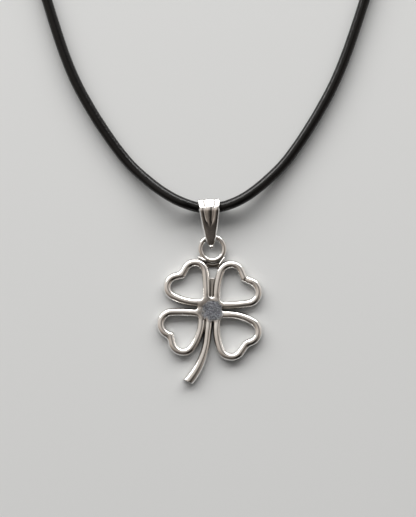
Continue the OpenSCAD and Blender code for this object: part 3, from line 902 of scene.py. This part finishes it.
def hermite(x, xs, ys):
    """Smooth curve through the points (xs, ys)."""
    m = np.gradient(ys, xs)
    i = int(np.clip(np.searchsorted(xs, x) - 1, 0, len(xs) - 2))
    h = xs[i + 1] - xs[i]
    t = min(max((x - xs[i]) / h, 0), 1)
    return float(ys[i] * (1 + 2 * t) * (1 - t) ** 2 + h * m[i] * t * (1 - t) ** 2
                 + ys[i + 1] * t * t * (3 - 2 * t) + h * m[i + 1] * t * t * (t - 1))


def bail_relief(q, v, half):
    """Height of the front's three ribs and of its rim, at share q of the half width."""
    t = share_along(v)
    g = groove_at(t)
    fade = 1 - float(ease((t - 0.4) / 0.2))
    u = np.abs(q) * half
    mid, side, centre = max(g, 0.03) * half, (1 - g) * half / 2, (1 + g) * half / 2
    middle_rib, side_rib = mid * (1 - (u / mid) ** 2), side * (1 - ((u - centre) / side) ** 2)
    ribs = (0.15 + 0.13 * ease((t - 0.09) / 0.1)) * np.where(u < mid, middle_rib, side_rib)
    plain = 0.06 * half * (1 - q**2)
    return plain + (ribs - plain) * fade


def make_bail(material):
    half = np.sin(np.linspace(-math.pi / 2, math.pi / 2, COLUMNS))
    stations = bail_stations()
    skin = np.array([outside for _, outside, _ in stations])
    ahead = np.roll(skin, -1, 0) - np.roll(skin, 1, 0)
    rings, lines = [], []
    for (inside, outside, shown), (dv, dz) in zip(stations, ahead):
        # square to the skin, but straight up on the nose, where the skin turns sharply
        upright = float(ease(-outside[0] / 0.5)) if shown > 0 else 0.0
        out = np.array((dz, -dv)) / math.hypot(dv, dz) * (1 - upright) + np.array((0, 1)) * upright
        w_out = float(half_width(outside[0], shown))
        lift = shown * bail_relief(half, outside[0], w_out)
        t = share_along(outside[0])
        aside = np.abs(np.abs(half) - groove_at(t)) * w_out
        along = shown * float(ease((t - 0.022) / 0.02) * (1 - ease((t - 0.15) / 0.05)))
        lift = lift - 0.03 * along * np.maximum(1 - aside / 0.26, 0)
        # the sheet's edges are bevelled, most steeply round the tip
        at_tip = float(ease((-1.0 - outside[0]) / 0.4))
        bevel = min(RIM_BEVEL + (TIP_BEVEL - RIM_BEVEL) * at_tip, 0.5 * w_out)
        steep = 0.95 + 0.4 * float(ease((-0.7 - outside[0]) / 0.5))
        edge = steep * bevel * np.clip(1 - (1 - np.abs(half)) * w_out / bevel, 0, 1) ** 1.1
        upper = float(ease((outside[1] - 0.8) / 0.4)) if outside[0] < -1 else 1
        edge = edge * min(shown * 2, 1) * upper
        place = outside + out * (lift - edge)[:, None]
        outer = np.column_stack([half * half_width(place[:, 0], shown), place])
        # the walls follow the same outline down to the inside
        wall = place[-1] + (inside - place[-1]) * np.linspace(0, 1, WALL_ROWS + 1)[1:, None]
        reach = half_width(wall[:, 0], shown)
        right = np.column_stack([reach, wall])
        across = np.linspace(1, -1, FLOOR_COLUMNS + 2)[1:-1] * reach[-1]
        floor = np.column_stack([across, np.repeat(inside[None, :], FLOOR_COLUMNS, 0)])
        rings.append(np.vstack([outer, right, floor, (right * (-1, 1, 1))[::-1]]))
        # the hollows between the ribs are painted dark: painted shade in the grooves
        dark = along * (1 - ease((aside - 0.14) / 0.14))
        lines.append(np.concatenate([dark, np.zeros(2 * WALL_ROWS + FLOOR_COLUMNS)]))
    n, m = len(rings[0]), len(rings)
    points = np.vstack(rings)
    a = math.radians(BAIL_TURN)
    x = points[:, 0] * math.cos(a) - points[:, 1] * math.sin(a) + BAIL_SHIFT
    y = points[:, 0] * math.sin(a) + points[:, 1] * math.cos(a) + RING_TOP
    points = np.column_stack([x, y, points[:, 2]])
    # the last ring joins the first one
    faces = [tuple(i % len(points) for i in face) for face in ring_faces(m + 1, n)]
    bail = make_object("bail_sheet", points, faces, material)
    set_mask(bail, "line", np.concatenate(lines))
    return bail


# The cord

CORD_R = 1.0
CORD_ROUTE = [
    (-4, 188), (-8.5, 188), (-14.5, 186.7), (-21.6, 182.8), (-29, 175.2), (-35.3, 164), (-40, 151),
    (-43, 136.5), (-44, 121), (-43.5, 105.5), (-42, 89.5), (-39.4, 73.5), (-36.4, 58.5), (-32.3, 43.5),
    (-27.4, 28.2), (-22.9, 19), (-16.8, 10), (-11.9, 5.1), (-7, 1.7), (-2.6, 0), (0, 0),
    (2.6, 0.07), (6.6, 1.7), (11.1, 5.1), (15.7, 10), (21.5, 19), (25.9, 28.2), (31, 43.5),
    (35.2, 58.5), (38.2, 73.5), (40.8, 89.5), (42.3, 105.5), (42.8, 121), (41.8, 136.5),
    (38.8, 151), (34.1, 164), (27.8, 175.2), (20.4, 182.8), (13.3, 186.7), (7.5, 188), (3, 188),
]
EYE_SLOPE, CLASP_SLOPE, CLASP_L, CLASP_R = 12.0, 18.0, 14.0, 1.61
EYE_AT = np.array((BAIL_SHIFT, RING_TOP)) + EYE[0] * unit(math.radians(90 + BAIL_TURN))
# how far the cord springs up beside the bail, and from the eye: where that starts, over
# what length, where it begins to sink and over what length
SPRING, SPRING_RISE, SPRING_FALL = 0.95, (1.6, 3.6), (6.5, 12)
FINE_WITHIN = 62                 # the route has finer steps this near to the eye
SIDES = 28


def catmull_rom(a, b, c, d, t):
    """Smooth curve from b to c."""
    square, cube = 2 * a - 5 * b + 4 * c - d, 3 * b - a - 3 * c + d
    return 0.5 * (2 * b + (c - a) * t + square * t**2 + cube * t**3)


def cord_points():
    route = np.array(CORD_ROUTE, float)
    r = np.vstack([2 * route[0] - route[1], route, 2 * route[-1] - route[-2]])
    points = []
    for i in range(1, len(route)):
        a, b, c, d = r[i - 1], r[i], r[i + 1], r[i + 2]
        gap = 0.5 if np.hypot(*b) < FINE_WITHIN else 1.5
        n = max(1, round(np.hypot(*(c - b)) / gap))
        points += [catmull_rom(a, b, c, d, t) for t in np.arange(n) / n]
    points.append(route[-1])
    p = np.array(points)
    clasp_mid = (route[0] + route[-1]) / 2
    from_eye = np.hypot(*p.T)
    z = CORD_R + (EYE[1] - CORD_R) * (1 - ease((from_eye - BAIL_W / 2) / EYE_SLOPE))
    # stiff leather: it springs up a little on both sides of the bail, and light gets under it
    rise = ease((from_eye - SPRING_RISE[0]) / SPRING_RISE[1])
    fall = ease((from_eye - SPRING_FALL[0]) / SPRING_FALL[1])
    z = z + SPRING * rise * (1 - fall)
    from_clasp = np.hypot(*(p - clasp_mid).T)
    z = z + (CLASP_R - CORD_R) * (1 - ease((from_clasp - CLASP_L / 2) / CLASP_SLOPE))
    return np.column_stack([p + EYE_AT, z])


def make_cord(material):
    line = cord_points()
    m = len(line)
    ahead = np.gradient(line, axis=0)
    ahead /= np.linalg.norm(ahead, axis=1)[:, None]
    side = np.column_stack([-ahead[:, 1], ahead[:, 0], np.zeros(m)])
    side /= np.linalg.norm(side, axis=1)[:, None]
    up = np.cross(ahead, side)
    run = np.concatenate([[0], np.cumsum(np.linalg.norm(np.diff(line, axis=0), axis=1))])
    angle = np.linspace(0, 2 * math.pi, SIDES, endpoint=False)
    where = np.column_stack([np.repeat(run, SIDES), np.tile(angle, m) * 1.3])
    # slightly uneven, but nowhere thicker than the bail's eye and the clasp's sockets allow
    ripple = 0.010 * value_noise(where, 1.7, 31) - 0.008
    radius = CORD_R * (1 + ripple.reshape(m, SIDES))
    ring = np.cos(angle)[None, :, None] * side[:, None] + np.sin(angle)[None, :, None] * up[:, None]
    points = (line[:, None] + ring * radius[..., None]).reshape(-1, 3)
    points[:, 2] = np.maximum(points[:, 2], 0.0)
    faces = [(a, d, c, b) for a, b, c, d in ring_faces(m, SIDES)]
    faces.append(tuple(range(SIDES))[::-1])
    faces.append(tuple((m - 1) * SIDES + i for i in range(SIDES)))
    cord = make_object("cord_strand", points, faces, material)
    layer = cord.data.uv_layers.new(name="UVMap")
    uv = np.zeros((len(cord.data.loops), 2))
    around = np.linspace(0, 2 * math.pi, SIDES + 1) * MM
    at = 0
    for u0, u1 in zip(run[:-1] * MM, run[1:] * MM):
        for v0, v1 in zip(around[:-1], around[1:]):
            uv[at:at + 4] = ((u0, v0), (u0, v1), (u1, v1), (u1, v0))
            at += 4
    layer.data.foreach_set("uv", uv.astype(np.float32).ravel())
    return cord


# All together

make_camera()
make_world()
make_softbox()
make_floor()

silver = silver_material("clover_silver", True)
bail_silver = silver_material("bail_silver", False)
leather = leather_material()

cord = make_cord(leather)
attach(cord, "root")
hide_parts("cord")

clover = make_clover(silver)
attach(clover, "root")
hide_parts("clover")

bail = make_bail(bail_silver)
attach(bail, "root")
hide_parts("bail")
bail.visible_diffuse = False     # its fold would throw a hard glow on the floor

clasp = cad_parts["clasp"]
clasp.data.materials.clear()
clasp.data.materials.append(bail_silver)

bpy.context.scene.view_settings.view_transform = "Standard"
bpy.context.scene.view_settings.look = "None"
